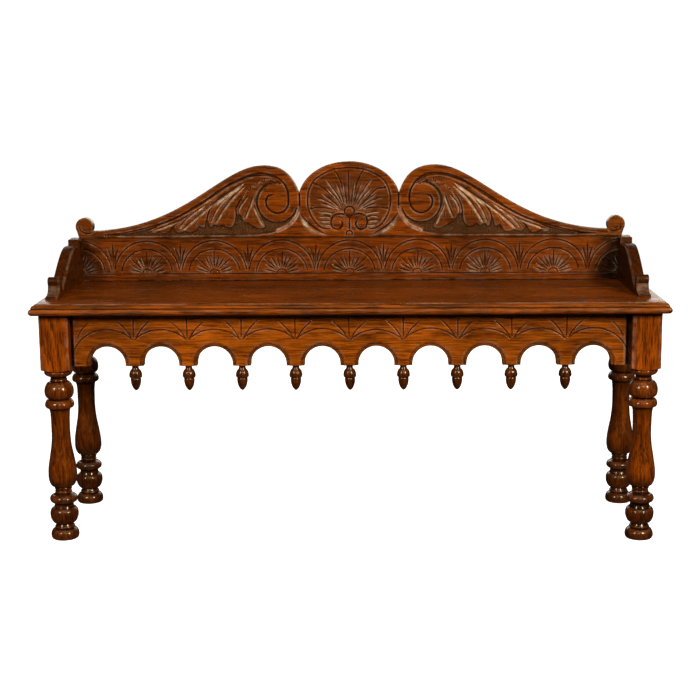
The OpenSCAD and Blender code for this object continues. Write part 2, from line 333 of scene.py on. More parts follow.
    def dome(self, centre, radius, top, drop):
        """Round button that stands at the top depth in its middle and falls off to its rim."""
        win, d = self.disc(centre, radius)
        self.surface[win] = np.where(d < 1, top + drop * d * d, self.surface[win])

    def raise_to(self, path, top, edge, reach):
        """Raises the face inside a closed path, rounding down to its rim over that reach."""
        win, dist, within = self.enclosed(path, reach)
        crown = 1 - np.clip(dist / reach, 0, 1)
        d = np.minimum(self.surface[win], top + (edge - top) * crown**2)
        self.surface[win] = np.where(within, d, self.surface[win])

    def round_arris(self, reach, drop):
        """Wears the edge of the face over that reach."""
        closed = np.vstack([self.outline, self.outline[:1]])
        win, dist, _, _ = self.nearest(closed, reach)
        self.surface[win] += drop * np.clip(1 - dist / reach, 0, 1) ** 2

    def build(self, name, node, finish):
        """The board as a mesh in its node's place: carved face, sides and flat back."""
        lo, hi = box_mm(node)
        middle, face_y, back_y, base_z = (lo[0] + hi[0]) / 2, lo[1], hi[1], lo[2]
        depth = self.surface + self.cut
        local = depth - blur(depth, 4)
        index = np.full(self.x.shape, -1)
        index[self.used] = np.arange(self.used.sum())
        i, j = np.nonzero(self.used)
        x, z = self.x[i, j], self.z[i, j]
        front = np.column_stack([middle + x, face_y + depth[i, j], base_z + z])
        ci, cj = np.nonzero(self.keep)
        quads = np.column_stack(
            [index[ci, cj], index[ci + 1, cj], index[ci + 1, cj + 1], index[ci, cj + 1]]
        )
        edges = np.vstack([quads[:, [k, (k + 1) % 4]] for k in range(4)])
        keys = {tuple(e) for e in edges.tolist()}
        following = {a: b for a, b in keys if (b, a) not in keys}
        loop = [next(iter(following))]
        while following[loop[-1]] != loop[0]:
            loop.append(following[loop[-1]])
        ring = front[loop]
        back = ring.copy()
        back[:, 1] = back_y
        points = np.vstack([front, back])
        n, first = len(loop), len(front)
        faces = quads.tolist()
        for k in range(n):
            m = (k + 1) % n
            faces.append((loop[m], loop[k], first + k, first + m))
        faces.append(tuple(first + k for k in range(n - 1, -1, -1)))
        marks = {
            "hollow": np.clip(local / FULL_HOLLOW, 0, 1),
            "ridge": np.clip(-local / FULL_RIDGE, 0, 1),
            "sunk": np.clip(depth / FULL_SUNK, 0, 1),
            "bright": self.bright,
            "smoke": self.smoke,
        }
        for key, values in marks.items():
            marks[key] = np.concatenate([values[i, j], np.zeros(n)])
        make_piece(name, points, faces, finish, [node], marks)


# ---- materials ----


class Tree:
    """Short way to write a material's nodes."""

    def __init__(self, name):
        self.material = bpy.data.materials.new(name)
        self.material.use_nodes = True
        self.tree = self.material.node_tree
        self.tree.nodes.clear()

    def add(self, kind, inputs=None, **props):
        node = self.tree.nodes.new("ShaderNode" + kind)
        for key, value in props.items():
            setattr(node, key, value)
        for key, value in (inputs or {}).items():
            if isinstance(value, bpy.types.NodeSocket):
                self.tree.links.new(value, node.inputs[key])
            else:
                node.inputs[key].default_value = value
        return node

    def maths(self, operation, a, b, clamp=False):
        return self.add("Math", {0: a, 1: b}, operation=operation, use_clamp=clamp).outputs[0]

    def times(self, a, b, clamp=False):
        return self.maths("MULTIPLY", a, b, clamp)

    def plus(self, a, b):
        return self.maths("ADD", a, b)

    def mix(self, share, a, b, blend="MIX"):
        node = self.add("Mix", {0: share, 6: a, 7: b}, data_type="RGBA", blend_type=blend)
        return node.outputs[2]

    def span(self, value, low, high, out_low=0.0, out_high=1.0):
        """value from low to high, mapped to the output range and held there."""
        node = self.add("MapRange", {0: value, 1: low, 2: high, 3: out_low, 4: out_high})
        return node.outputs[0]

    def noise(self, vector, scale, detail=3.0, rough=0.55, distort=0.0):
        inputs = {"Vector": vector, "Scale": scale, "Detail": detail, "Roughness": rough}
        node = self.add("TexNoise", {**inputs, "Distortion": distort})
        return node.outputs["Fac"]

    def mark(self, name):
        return self.add("Attribute", attribute_name=name).outputs["Fac"]

    def place(self):
        return self.add("TexCoord").outputs["Object"]

    def bump(self, strength, distance, height):
        inputs = {"Strength": strength, "Distance": distance, "Height": height}
        return self.add("Bump", inputs).outputs[0]

    def finish(self, inputs):
        """The material, with its surface from these inputs."""
        shader = self.add("BsdfPrincipled", inputs)
        self.add("OutputMaterial", {"Surface": shader.outputs[0]})
        return self.material


def rgb(r, g, b):
    return (r, g, b, 1.0)


def oak(name, along, light, dark, seed, gloss=0.27, coat=0.05, spec=0.29, wax=0.10):
    """Oak with its grain along one axis: streaks, rings, pores, flecks, soiling, worn edges,
    painted shade and painted highlights.

    Point marks steer it: hollow and sunk darken with soiling, the dirt-and-shade mark darkens with
    soiling and painted shade, ridge shows worn edges, and the highlight mark lays a pale painted
    highlight.
    """
    t = Tree(name)
    place = t.place()
    stretch = [1.0, 1.0, 1.0]
    stretch["XYZ".index(along)] = 0.085 if along == "Z" else 0.055
    shift = (seed * 1.7, seed * 2.3, seed * 3.1)
    fibre = t.add("Mapping", {"Vector": place, "Location": shift, "Scale": stretch}).outputs[0]
    stretch["XYZ".index(along)] = 0.22
    wide = t.add("Mapping", {"Vector": place, "Location": shift, "Scale": stretch}).outputs[0]

    streak = t.noise(fibre, 130.0, 4.0, 0.6, 0.4)
    fine = t.noise(fibre, 430.0, 3.0, 0.6)
    dash = t.span(t.noise(fibre, 760.0, 2.0, 0.5), 0.55, 0.68)
    bend = t.noise(wide, 9.0, 2.0, 0.5)
    wave = {"Vector": fibre, "Scale": 26.0, "Distortion": 9.0, "Detail": 3.0, "Detail Scale": 1.4}
    wave["Phase Offset"] = t.times(bend, 30.0)
    rings = t.add("TexWave", wave, bands_direction="DIAGONAL", wave_profile="SAW").outputs["Fac"]
    fleck = t.span(t.noise(wide, 260.0, 2.0, 0.5, 0.8), 0.60, 0.72)
    patch = t.noise(place, 6.0, 3.0, 0.55)
    blotch = t.noise(place, 38.0, 3.0, 0.6)

    tone = t.times(streak, 0.27)
    tone = t.plus(tone, t.times(fine, 0.55))
    tone = t.plus(tone, t.times(rings, 0.10))
    tone = t.plus(tone, t.times(blotch, 0.08))
    tone = t.span(tone, 0.385, 0.595)
    colour = t.mix(tone, rgb(*dark), rgb(*light))
    glow = t.mix(1.0, colour, rgb(1.35, 1.35, 1.30), "MULTIPLY")
    colour = t.mix(t.times(fleck, 0.35), colour, glow)
    shade = t.span(patch, 0.34, 0.68, 0.68, 1.24)
    patched = t.add("CombineXYZ", {0: shade, 1: shade, 2: shade}).outputs[0]
    colour = t.mix(1.0, colour, patched, "MULTIPLY")
    black = rgb(0.005, 0.0018, 0.0006)
    colour = t.mix(t.times(dash, 0.72), colour, black)

    hollow = t.mark("hollow")
    ridge = t.mark("ridge")
    sunk = t.mark("sunk")
    scuff = t.span(t.noise(place, 45.0, 4.0, 0.6), 0.42, 0.62)
    # painted highlight mark, and the share of the face outside it, which the darkening spares
    bright = t.mark("bright")
    outside_highlight = t.maths("SUBTRACT", 1.0, t.times(bright, 0.85))
    grime_and_shade = t.times(hollow, 0.94)
    grime_and_shade = t.maths("MAXIMUM", grime_and_shade, t.times(sunk, 0.78))
    # dirt-and-shade mark, broken up by blotches: soiling and painted shade
    smoke = t.times(t.mark("smoke"), t.span(blotch, 0.3, 0.7, 1.15, 0.75))
    grime_and_shade = t.times(t.maths("MAXIMUM", grime_and_shade, smoke), outside_highlight, clamp=True)
    # darkening towards black: soiling in hollows and on sunk ground, and painted shade
    colour = t.mix(grime_and_shade, colour, black)
    worn = t.times(t.times(ridge, scuff), 0.24)
    # painted highlight, broken up by noise, joined with the worn edges into one pale share
    highlight_breakup = t.span(t.noise(place, 90.0, 3.0, 0.6), 0.38, 0.62, 0.15, 0.8)
    painted_highlight_patches = t.times(bright, highlight_breakup)
    worn = t.maths("MAXIMUM", worn, painted_highlight_patches)
    # pale colour of worn edges and of painted highlights
    pale = rgb(0.42, 0.295, 0.20)
    colour = t.mix(worn, colour, pale)

    rough = t.span(t.noise(place, 28.0, 3.0, 0.6), 0.35, 0.65, gloss - 0.05, gloss + 0.09)
    rough = t.plus(rough, t.times(dash, 0.18))
    rough = t.plus(rough, t.times(t.times(sunk, outside_highlight), 0.15))
    rough = t.maths("SUBTRACT", rough, t.times(bright, 0.06), clamp=True)

    height = t.times(dash, -0.55)
    height = t.plus(height, t.times(fine, 0.45))
    height = t.plus(height, t.times(streak, 0.5))
    inputs = {
        "Base Color": colour,
        "Roughness": rough,
        "Normal": t.bump(0.45, 0.00045, height),
        "Coat Weight": coat,
        "Coat Roughness": wax,
        "Coat Tint": rgb(1.0, 0.86, 0.66),
        "Specular IOR Level": spec,
        "Specular Tint": rgb(1.0, 0.60, 0.22),
    }
    return t.finish(inputs)


def raw_wood(name, along, light, dark):
    """Unpolished wood: dull, dusty, with saw marks across the grain."""
    t = Tree(name)
    place = t.place()
    stretch = [1.0, 1.0, 1.0]
    stretch["XYZ".index(along)] = 0.06
    fibre = t.add("Mapping", {"Vector": place, "Scale": stretch}).outputs[0]
    streak = t.noise(fibre, 160.0, 4.0, 0.6, 0.3)
    stain = t.noise(place, 14.0, 3.0, 0.6)
    colour = t.mix(t.span(streak, 0.35, 0.65), dark, light)
    colour = t.mix(t.span(stain, 0.45, 0.7, 0.0, 0.6), colour, dark)
    saw = t.add("TexWave", {"Vector": place, "Scale": 90.0, "Distortion": 1.5})
    height = t.plus(streak, t.times(saw.outputs["Fac"], 0.35))
    bump = t.bump(0.5, 0.0004, height)
    rough = t.span(stain, 0.3, 0.7, 0.68, 0.85)
    return t.finish({"Base Color": colour, "Roughness": rough, "Normal": bump})


def old_steel(name):
    """Screw heads: dull steel going brown."""
    t = Tree(name)
    place = t.place()
    rust = t.span(t.noise(place, 320.0, 4.0, 0.65), 0.42, 0.60)
    colour = t.mix(rust, rgb(0.28, 0.26, 0.23), rgb(0.10, 0.045, 0.022))
    metal = t.span(rust, 0.0, 1.0, 1.0, 0.15)
    rough = t.span(rust, 0.0, 1.0, 0.38, 0.8)
    bump = t.bump(0.4, 0.0002, rust)
    return t.finish({"Base Color": colour, "Metallic": metal, "Roughness": rough, "Normal": bump})


TURNING = {"gloss": 0.22, "coat": 0.30, "spec": 0.22, "wax": 0.07}
REAR_TURNING = {**TURNING, "gloss": 0.24, "coat": 0.25}
ACORN = {**TURNING, "coat": 0.25}
WING = {"gloss": 0.36, "coat": 0.02, "spec": 0.14}
SEAT = {"gloss": 0.30, "coat": 0.03}
RAIL = (0.15, 0.045, 0.008), (0.06, 0.018, 0.004)
BATTEN = (0.14, 0.045, 0.010), (0.06, 0.018, 0.005)

back_oak = oak("oak_back", "X", (0.22, 0.041, 0.0009), (0.044, 0.0062, 0.0002), 1.0)
frieze_oak = oak("oak_frieze", "X", (0.168, 0.030, 0.0007), (0.034, 0.0048, 0.0002), 1.5)
wing_oak = oak("oak_wing", "Y", (0.110, 0.022, 0.0007), (0.023, 0.0037, 0.0002), 2.0, **WING)
turned = oak("oak_turned", "Z", (0.30, 0.059, 0.0014), (0.058, 0.0086, 0.0003), 3.0, **TURNING)
# Darker copy of the front legs' oak for the rear legs: painted shade.
turned_rear_shaded = oak(
    "oak_turned_rear_shaded", "Z", (0.20, 0.040, 0.0012), (0.036, 0.0056, 0.0003), 3.5, **REAR_TURNING
)
seat_oak = oak("oak_seat", "X", (0.262, 0.050, 0.0011), (0.032, 0.0049, 0.0003), 4.0, **SEAT)
rail_x = oak("oak_rail_x", "X", *RAIL, 5.0, gloss=0.55, coat=0.0)
rail_y = oak("oak_rail_y", "Y", *RAIL, 6.0, gloss=0.50, coat=0.0)
rail_z = oak("oak_batten", "Z", *BATTEN, 7.0, gloss=0.60, coat=0.0)
apron_oak = oak("oak_apron", "X", (0.355, 0.076, 0.0021), (0.078, 0.0118, 0.0004), 8.0)
# Much darker copy of the legs' oak for the acorns under the apron: painted shade.
acorn_oak_shaded = oak("oak_acorn_shaded", "Z", (0.085, 0.017, 0.0010), (0.022, 0.0041, 0.0004), 9.0, **ACORN)
# Darker copy of the seat's oak for the rear board: painted shade.
seat_oak_rear_shaded = oak(
    "oak_seat_rear_shaded", "X", (0.178, 0.034, 0.0008), (0.031, 0.0047, 0.0003), 10.0, **SEAT
)
block_wood = raw_wood("block_wood", "X", rgb(0.36, 0.21, 0.10), rgb(0.17, 0.085, 0.035))
screw_steel = old_steel("screw_steel")


# ---- frieze ----

frieze_lo, frieze_hi = box_mm("frieze_board")
FRIEZE_H = frieze_hi[2] - frieze_lo[2]
FRIEZE_X = (frieze_hi[0] - frieze_lo[0]) / 2
BASE_LINE = 15
LUNETTES = range(-4, 5)
LUNETTE_PITCH = (FRIEZE_X - 16) / 4
HUB_R = 9.5


def lunette(board, x0):
    """Half-round flower: two arcs, a hub and a fan of gouged petals."""
    for a, b, width, depth in ((54, 52, 3.6, 2.1), (69, 70, 3.8, 2.2)):
        wobble = rng.normal(0, 0.5, 2)
        path = arc((x0, BASE_LINE), a + wobble[0], b + wobble[1], 1, 179, 40)
        board.groove(path, width, depth, 0.05, 0.05)
    board.groove(arc((x0, BASE_LINE), HUB_R, HUB_R, 0, 180, 16), 3.0, 1.8, 0.05, 0.05)
    for angle in range(15, 166, 15):
        a = math.radians(angle + rng.normal(0, 1.2))
        long = angle % 45 == 0
        far = (53 if long else 48) + rng.normal(0, 1.2)
        reach = np.array([[HUB_R + 1, HUB_R + 1], [far, far * 0.97]])
        path = reach * [math.cos(a), math.sin(a)] + [x0, BASE_LINE]
        lean = -0.3 * math.copysign(1, math.cos(a))
        if long:
            board.groove(path, 3.2, 1.9, 0.20, 0.20)
        else:
            # short petals get a painted highlight strip on their wider flank
            board.groove(path, 5.2, 2.6, 0.20, 0.45, lean, 0.40)
    for side in (-1, 1):
        start, end = (x0 + side * 13, BASE_LINE + 2.5), (x0 + side * 33, BASE_LINE + 4.5)
        board.groove([start, end], 3.2, 1.4, 0.4, 0.4)


def spandrel(board, x0):
    """Three strokes that spring from between two lunettes."""
    top = FRIEZE_H - 5
    stem = through([(x0, BASE_LINE + 4), (x0, BASE_LINE + 38), (x0 + rng.normal(0, 0.8), top)])
    board.groove(stem, 4.2, 2.4, 0.35, 0.3)
    for side in (-1, 1):
        points = [(1.5, 14), (4, 36), (10, 52), (20 + rng.normal(0, 1), 62)]
        path = through([(x0 + side * x, BASE_LINE + z) for x, z in points])
        board.groove(path, 5.4, 2.8, 0.3, 0.55, lean=-0.3 * side)


def frieze():
    """Frieze: nine lunettes, the outer two cut by the board's ends, and eight sprays."""
    x1 = FRIEZE_X
    board = Board([(-x1, 0), (x1, 0), (x1, FRIEZE_H), (-x1, FRIEZE_H)])
    board.groove([(-x1, BASE_LINE), (x1, BASE_LINE)], 2.6, 1.5, 0, 0)
    for i in LUNETTES:
        lunette(board, i * LUNETTE_PITCH)
    for i in LUNETTES[:-1]:
        spandrel(board, (i + 0.5) * LUNETTE_PITCH)
    board.surface += 0.10 * ripple(board.x, board.z, 60, 3)
    # painted shadow of the wings over the frieze's ends, deeper at the right, with the painted
    # highlights taken out there
    ends = 0.97 * smooth((board.x - x1 + 95) / 60) + 0.80 * smooth((-board.x - x1 + 80) / 60)
    board.smoke += ends
    board.bright *= 1 - 0.9 * ends
    board.add_dirt_and_shade(0.9 * smooth((3.0 - board.z) / 2))
    board.add_dirt_and_shade(0.85 * smooth((board.z - FRIEZE_H + 3.5) / 2))
    board.surface -= board.surface.min()
    board.round_arris(1.6, 0.9)
    board.surface[board.z > FRIEZE_H - 2.5] = 0.0
    board.build("frieze_carved", "frieze_board", frieze_oak)


frieze()


# ---- crest ----

ROUNDEL = (0, 78)
ROUNDEL_A = 106
ROUNDEL_B = 79
SCROLL_EYE = (150, 72)
SCROLL_R = 40
GROUND_DEPTH = 4.3


def crest_outline():
    """Roundel between two humps that fall away to small end scrolls."""
    turn = math.radians(10.2)
    notch = (ROUNDEL_A * math.cos(turn), ROUNDEL[1] + ROUNDEL_B * math.sin(turn))
    half = [
        arc(ROUNDEL, ROUNDEL_A, ROUNDEL_B, 90, 10.2, 30),
        bezier(notch, (117.5, 130.7), (137.5, 149.6), (179, 149.6), 20)[1:],
        bezier((179, 149.6), (268, 149.6), (345, 18), (541, 14.25), 40)[1:],
        arc((557, 23.5), 18.5, 18.5, 205, -30, 30)[1:],
        [(569, 0)],
    ]
    half = np.vstack(half)
    left = half[::-1] * [-1, 1]
    return np.vstack([left[:-1], half])[::-1]


def curl(side, points, n=6):
    """Curve with a little jitter for one side of the crest, given for the right-hand side."""
    points = np.array(points, float) + rng.normal(0, 0.35, (len(points), 2))
    return through(points * [side, 1], n)


def scroll_band(board, side):
    """Groove that follows the top band and winds into the eye of the scroll."""
    top = [(530, 8), (505, 6), (463, 11), (420, 21), (388, 32), (357, 44), (324, 63), (292, 84)]
    bow = [(271, 98), (250, 111), (229, 121), (208, 129), (187, 132), (166, 131), (150, 124)]
    eye = [(136, 112), (128, 96), (126, 78), (128, 65), (137, 54), (150, 50), (163, 54), (172, 64)]
    path = curl(side, top + bow + eye + [(174, 77), (168, 86), (158, 88), (151, 85)])
    board.groove(path, 5.0, 3.8, 0.06, 0.03)


def ground(board, side):
    """Sunk and punched ground below the leaf, round the scroll and up to the band."""
    band = [(508, 5), (463, 10), (420, 20), (388, 31), (357, 43), (324, 62), (292, 83), (271, 97)]
    bow = [(250, 110), (229, 120), (208, 128), (187, 131), (166, 130), (152, 123), (139, 112)]
    disc = arc(SCROLL_EYE, SCROLL_R, SCROLL_R, 112, -163, 40)
    foot = [(104.5, 61), (108, 48), (116, 35), (129, 23), (150, 13), (176, 6.5), (230, 4), (470, 3)]
    path = np.vstack([through(band + bow), disc, through(foot)]) * [side, 1]
    board.sink(path, GROUND_DEPTH, 1.6)
    inner = board.surface > 3.0
    board.bank(through(foot[:5]) * [side, 1], GROUND_DEPTH, 7.0)
    pits = 0.34 * ripple(board.x, board.z, 4.6, 11) + 0.24 * ripple(board.x, board.z, 2.6, 12)
    near = side * board.x > 0
    board.surface += np.where(inner & near, pits, 0)


def leaf(board, side):
    """Acanthus leaf: a scalloped body under two ribs, divided by gouges that carry painted
    highlights.
    """
    top = [(139, 110), (152, 121), (166, 128), (187, 129), (208, 126), (229, 118), (250, 108)]
    top += [(271, 95), (292, 81), (324, 60), (357, 41), (388, 29), (413, 18), (423, 12)]
    foot = [(408, 15), (393, 9), (379, 9), (372, 20), (360, 10), (345, 13), (334, 10), (324, 12)]
    foot += [(316, 23), (305, 21), (299, 37), (292, 21), (283, 26), (274, 21), (266, 26), (258, 21)]
    foot += [(248, 20), (240, 30), (236, 45), (228, 46), (221, 34), (210, 27), (199, 21), (187, 17)]
    foot += [(177, 22), (184, 40), (191, 56)]
    heel = arc(SCROLL_EYE, SCROLL_R + 5, SCROLL_R + 5, 0, 104, 12)
    board.raise_to(np.vstack([curl(side, top + foot, 4), heel * [side, 1]]), 0.7, 2.6, 3.6)

    rib = [(140, 114), (160, 123), (188, 126), (213, 120), (236, 110), (258, 97), (286, 77)]
    rib += [(313, 60), (355, 40), (386, 26), (416, 13)]
    board.lobe(curl(side, rib), 11, 0.0, 1.6, 0.0, blunt=0.08)
    heart = [(146, 113), (162, 119), (178, 117), (195, 108), (210, 96), (222, 78)]
    board.lobe(curl(side, heart), 12, 0.0, 1.8, 0.14, 4.5, 0.3)

    # gouges: a painted highlight strip on one flank, and the cut darkened with soiling and painted
    # shade
    first = curl(side, [(212, 117), (236, 104), (260, 88), (282, 72), (304, 57)])
    board.groove(first, 12.5, 3.5, 0.3, 0.3, -0.5 * side, 1.0, 0.3)
    gouges = [
        ([(262, 88), (290, 67), (312, 50), (333, 32), (353, 14)], 7.0, 2.4, -0.5),
        ([(288, 75), (309, 62), (329, 49), (348, 32), (359, 16)], 5.2, 2.0, -0.5),
        ([(318, 58), (345, 42), (364, 33), (384, 25), (421, 12)], 7.0, 2.3, -0.5),
        ([(206, 112), (226, 100), (248, 79), (266, 55), (284, 26)], 7.6, 2.6, -0.5),
        ([(222, 108), (244, 93), (266, 74), (282, 50), (291, 27)], 5.2, 2.0, -0.5),
        ([(196, 98), (207, 67), (214, 52), (220, 38)], 7.0, 2.4, -0.4),
        ([(206, 92), (222, 74), (231, 58), (229, 45)], 5.2, 2.0, -0.4),
        ([(200, 78), (196, 60), (188, 42), (179, 24)], 5.6, 2.2, 0.4),
    ]
    for points, width, depth, lean in gouges:
        board.groove(curl(side, points), width, depth, 0.35, 0.08, lean * side, 1.0, 0.45)
    veins = [
        ([(240, 88), (262, 62), (272, 42), (272, 28)], 2.4, 1.2),
        ([(300, 54), (316, 38), (324, 26), (328, 16)], 2.4, 1.2),
        ([(214, 80), (222, 62), (224, 50)], 2.2, 1.2),
        ([(194, 66), (199, 46), (196, 28)], 2.4, 1.3),
        ([(250, 70), (256, 50), (254, 34)], 2.2, 1.1),
        ([(344, 34), (356, 26), (366, 18)], 2.2, 1.2),
    ]
    for points, width, depth in veins:
        board.groove(curl(side, points), width, depth, 0.5, 0.3)
    gaps = [
        [(266, 84), (284, 66), (295, 50), (299, 34)],
        [(214, 96), (228, 78), (236, 60), (236, 42)],
        [(326, 50), (350, 37), (366, 26), (372, 18)],
    ]
    for points in gaps:
        board.groove(curl(side, points), 3.4, 3.6, 0.5, 0.05)
    for u, v in ((146, 114), (161, 120), (178, 119), (194, 111), (208, 101)):
        board.dimple((side * (u + 2), v - 3), 3.0, 1.8)
        board.groove(arc((u + 3, v), 5.5, 5.5, 130, 260, 8) * [side, 1], 2.4, 1.8, 0.2, 0.2)


def crescents(board, side):
    """Hollow between the flat spandrel and the roundel, and the crease up to the notch."""
    inner = arc(ROUNDEL, 108, 80.5, -12, -72, 20) * [side, 1]
    # painted highlight on one flank of the hollow, and the hollow darkened with soiling and painted
    # shade
    board.groove(inner, 13.5, 4.8, 0.4, 0.45, 0.6 * side, 0.75, 0.75)
    board.groove([(side * 103.6, 93), (side * 103.4, 76), (side * 103.4, 56)], 4.0, 4.4, 0.1, 0.1)


def end_scroll(board, side):
    """Short spiral in the disc at the end of the band."""
    path = curl(side, [(537, 13), (545, 10), (555, 10), (564, 14), (567, 22), (563, 30), (555, 31)])
    board.groove(path, 3.8, 2.6, 0.2, 0.5)
    board.groove(arc((556, 21), 5, 5, -150, 20, 8) * [side, 1], 3.0, 1.8, 0.3, 0.3)
    board.dimple((side * 514, 3.5), 1.6, 1.2)


def shell(board):
    """Shell of the roundel: ring, fan of gouged flutes, hub and two small curls."""
    ring = [(36, 18.5), (48, 17), (62, 22), (73, 33), (81, 47), (85.5, 62), (86.5, 78), (84.5, 94)]
    ring += [(79, 108), (69, 121), (52, 132), (31, 140.5), (0, 144)]
    half = through(ring, 6)
    whole = np.vstack([half, half[-2::-1] * [-1, 1]])
    curls = np.array([(38, 29), (36, 39), (28, 46.5), (17, 48), (9, 45), (5, 40)], float)
    board.sink(np.vstack([whole[::-1], curls, curls[::-1] * [-1, 1]]), 1.8, 8.0)
    board.groove(whole, 4.2, 2.8, 0.02, 0.02)
    board.groove([(0.5, 62), (-0.5, 98), (-1, 139)], 3.4, 2.2, 0.25, 0.05)
    for side in (-1, 1):
        dip = 3 * side
        dividers = [
            [(6.6, 66), (10, 88), (15, 107), (23, 127), (31.5, 140)],
            [(12, 54), (23, 68 - dip), (41, 87 - dip), (59, 102 - dip), (77, 107 - 5 * side)],
            [(20, 54), (42, 60.5), (64, 61.5), (82, 58)],
        ]
        for points in dividers:
            path = curl(side, points)
            board.groove(path, 3.4, 2.2, 0.25, 0.02)
            inward = path[-1] * [0.93, 1] - [0, 1]
            board.groove([inward, path[-1] + [0, 2.5]], 6.0, 2.8, 0.5, 0.05)
        flutes = [
            [(4.5, 64), (8.5, 97), (12.5, 124)],
            [(9.5, 66), (20, 99), (29, 118)],
            [(10, 61), (21, 83), (38, 108), (53, 126)],
            [(14, 62), (31, 86), (50, 106)],
            [(18, 60), (40, 79), (61, 93)],
            [(14, 54), (33, 67), (55, 78), (78, 82)],
            [(26, 58), (43, 66), (62, 71)],
            [(31, 48), (50, 52), (68, 52)],
            [(36, 41), (50, 43), (66, 41)],
            [(39.5, 33), (52, 34), (64, 33)],
            [(38, 25), (48, 26), (57, 26)],
        ]
        # flutes get a painted highlight on one flank and a little darkening of the cut
        for points in flutes:
            path = curl(side, points)
            board.groove(path, 5.2 + rng.normal(0, 0.3), 2.4, 0.15, 0.30, -0.35 * side, 0.8, 0.2)
        board.dome((side * 24.5, 31.5), 13.0, 0.0, 1.1)
        spiral = [(5, 40), (9, 45), (17, 48), (28, 46.5), (36, 39), (38, 29), (34.5, 20), (26, 16)]
        spiral += [(17, 19), (13.5, 27), (17, 33), (23, 33)]
        board.groove(curl(side, spiral), 5.0, 3.6, 0.12, 0.12)
    board.groove(arc((0.5, 53), 10.5, 10.5, 0, 360, 24), 4.0, 3.0, 0, 0)
    board.dome((0.5, 53), 9.5, 0.0, 1.6)
    # the central gouge gets a painted highlight on one flank
    board.groove([(0, 43), (0.5, 13)], 6.0, 4.2, 0.15, 0.15, lean=-0.3, painted_glint=0.6)
    board.groove(arc((0, 6.5), 6.5, 6.5, -20, 200, 16), 3.2, 3.0, 0, 0)
    board.dome((0, 6.5), 6.0, 0.0, 1.2)


def crest():
    """Crest: the same carving on both sides and the shell in the middle."""
    board = Board(crest_outline())
    for side in (-1, 1):
        ground(board, side)
        leaf(board, side)
        scroll_band(board, side)
        crescents(board, side)
        end_scroll(board, side)
    shell(board)
    board.surface += 0.10 * ripple(board.x, board.z, 55, 21)
    board.add_dirt_and_shade(0.30 * smooth((np.abs(board.x) - 330) / 120))
    board.add_dirt_and_shade(0.85 * smooth((3.5 - board.z) / 2))
    board.surface -= board.surface.min()
    board.round_arris(2.0, 1.1)
    board.surface[board.z < 2.5] = 0.0
    board.build("crest_carved", "crest_board", back_oak)


crest()


# ---- apron ----

apron_lo, apron_hi = box_mm("front_apron")
leg_lo, leg_hi = box_mm("front_right_leg")
APRON_X = leg_lo[0]
ARCHES = 10
ARCH_R = 34.5
ARCH_RISE = 3.5
ARCH_PITCH = 2 * (APRON_X - 19.5) / ARCHES
HOLLOW_R = ARCH_R + 7
SPRAY_R = 71


def apron_outline():
    """Board whose foot is an arcade of round arches between short drops."""
    points = [(-APRON_X, 0)]
    for i in range(ARCHES):
        x = (i - (ARCHES - 1) / 2) * ARCH_PITCH
        points.append((x - ARCH_R, 0))
        points.extend(arc((x, ARCH_RISE), ARCH_R, ARCH_R, 180, 0, 36))
        points.append((x + ARCH_R, 0))
    height = apron_hi[2] - apron_lo[2]
    return points + [(APRON_X, 0), (APRON_X, height), (-APRON_X, height)]


def apron():
    """Apron: a hollow round each arch, crossing arcs, sprays between them and a gap at each end."""
    board = Board(apron_outline())
    for i in range(ARCHES):
        x = (i - (ARCHES - 1) / 2) * ARCH_PITCH
        r = np.hypot(board.x - x, np.maximum(board.z - ARCH_RISE, 0))
        board.surface = np.maximum(board.surface, 2.4 * smooth((HOLLOW_R - r) / 1.4))
        start = 4 if i == ARCHES - 1 else 43
        end = 176 if i == 0 else 137
        rise = rng.normal(0, 0.8)
        board.groove(arc((x, 1), SPRAY_R, SPRAY_R + rise, start, end, 30), 3.0, 2.2, 0.05, 0.05)
        ring = arc((x, ARCH_RISE), HOLLOW_R + 0.6, HOLLOW_R + 0.6, 0, 180, 30)
        board.groove(ring, 2.2, 1.4, 0.05, 0.05)
    for i in range(ARCHES + 1):
        x = (i - ARCHES / 2) * ARCH_PITCH
        lean = rng.normal(0, 0.8)
        if 0 < i < ARCHES:
            board.groove([(x, 49), (x + lean, 99)], 2.8, 2.0, 0.25, 0.12)
            for side in (-1, 1):
                points = np.array([(2.5, 51), (11, 66), (23, 80 + lean), (41, 95 + lean)])
                board.groove(through(points * [side, 1] + [x, 0]), 3.2, 2.2, 0.12, 0.4)
        else:
            side = math.copysign(1, x)
            points = np.array([(526, 52), (517, 70), (506, 82), (494, 93)])
            board.groove(through(points * [side, 1]), 3.0, 2.0, 0.15, 0.4)
    board.surface += 0.12 * ripple(board.x, board.z, 60, 31)
    board.surface -= board.surface.min()
    for side, width in ((-1, 4.5), (1, 8.0)):
        gap = smooth((side * board.x - APRON_X + width + 5) / 8.0)
        board.surface += 8.0 * gap
        # painted shadow of the leg blocks over the apron's ends, and painted shade in the gaps
        # beside them
        board.add_dirt_and_shade(0.45 * smooth((side * board.x - APRON_X + 40) / 40) ** 2)
        board.add_dirt_and_shade(0.95 * smooth((side * board.x - APRON_X + width + 4) / 4))
    board.round_arris(1.2, 0.6)
    board.build("apron_carved", "front_apron", apron_oak)


apron()


# ---- turnings ----


def outline_marks(r, z, reach=4.0):
    """Hollow and ridge marks of a turned outline, against its mean over a reach either side."""
    mean = np.array([r[np.abs(z - at) <= reach].mean() for at in z])
    return np.clip((mean - r) / 2.0, 0, 1), np.clip((r - mean) / 1.6, 0, 1)


def resample(points, step):
    """Points along a polyline no further apart than the step."""
    points = np.asarray(points, float)
    out = [points[:1]]
    for a, b in zip(points, points[1:]):
        n = max(1, int(np.ceil(np.hypot(*(b - a)) / step)))
        out.append(a + (b - a) * np.linspace(0, 1, n + 1)[1:, None])
    return np.vstack(out)


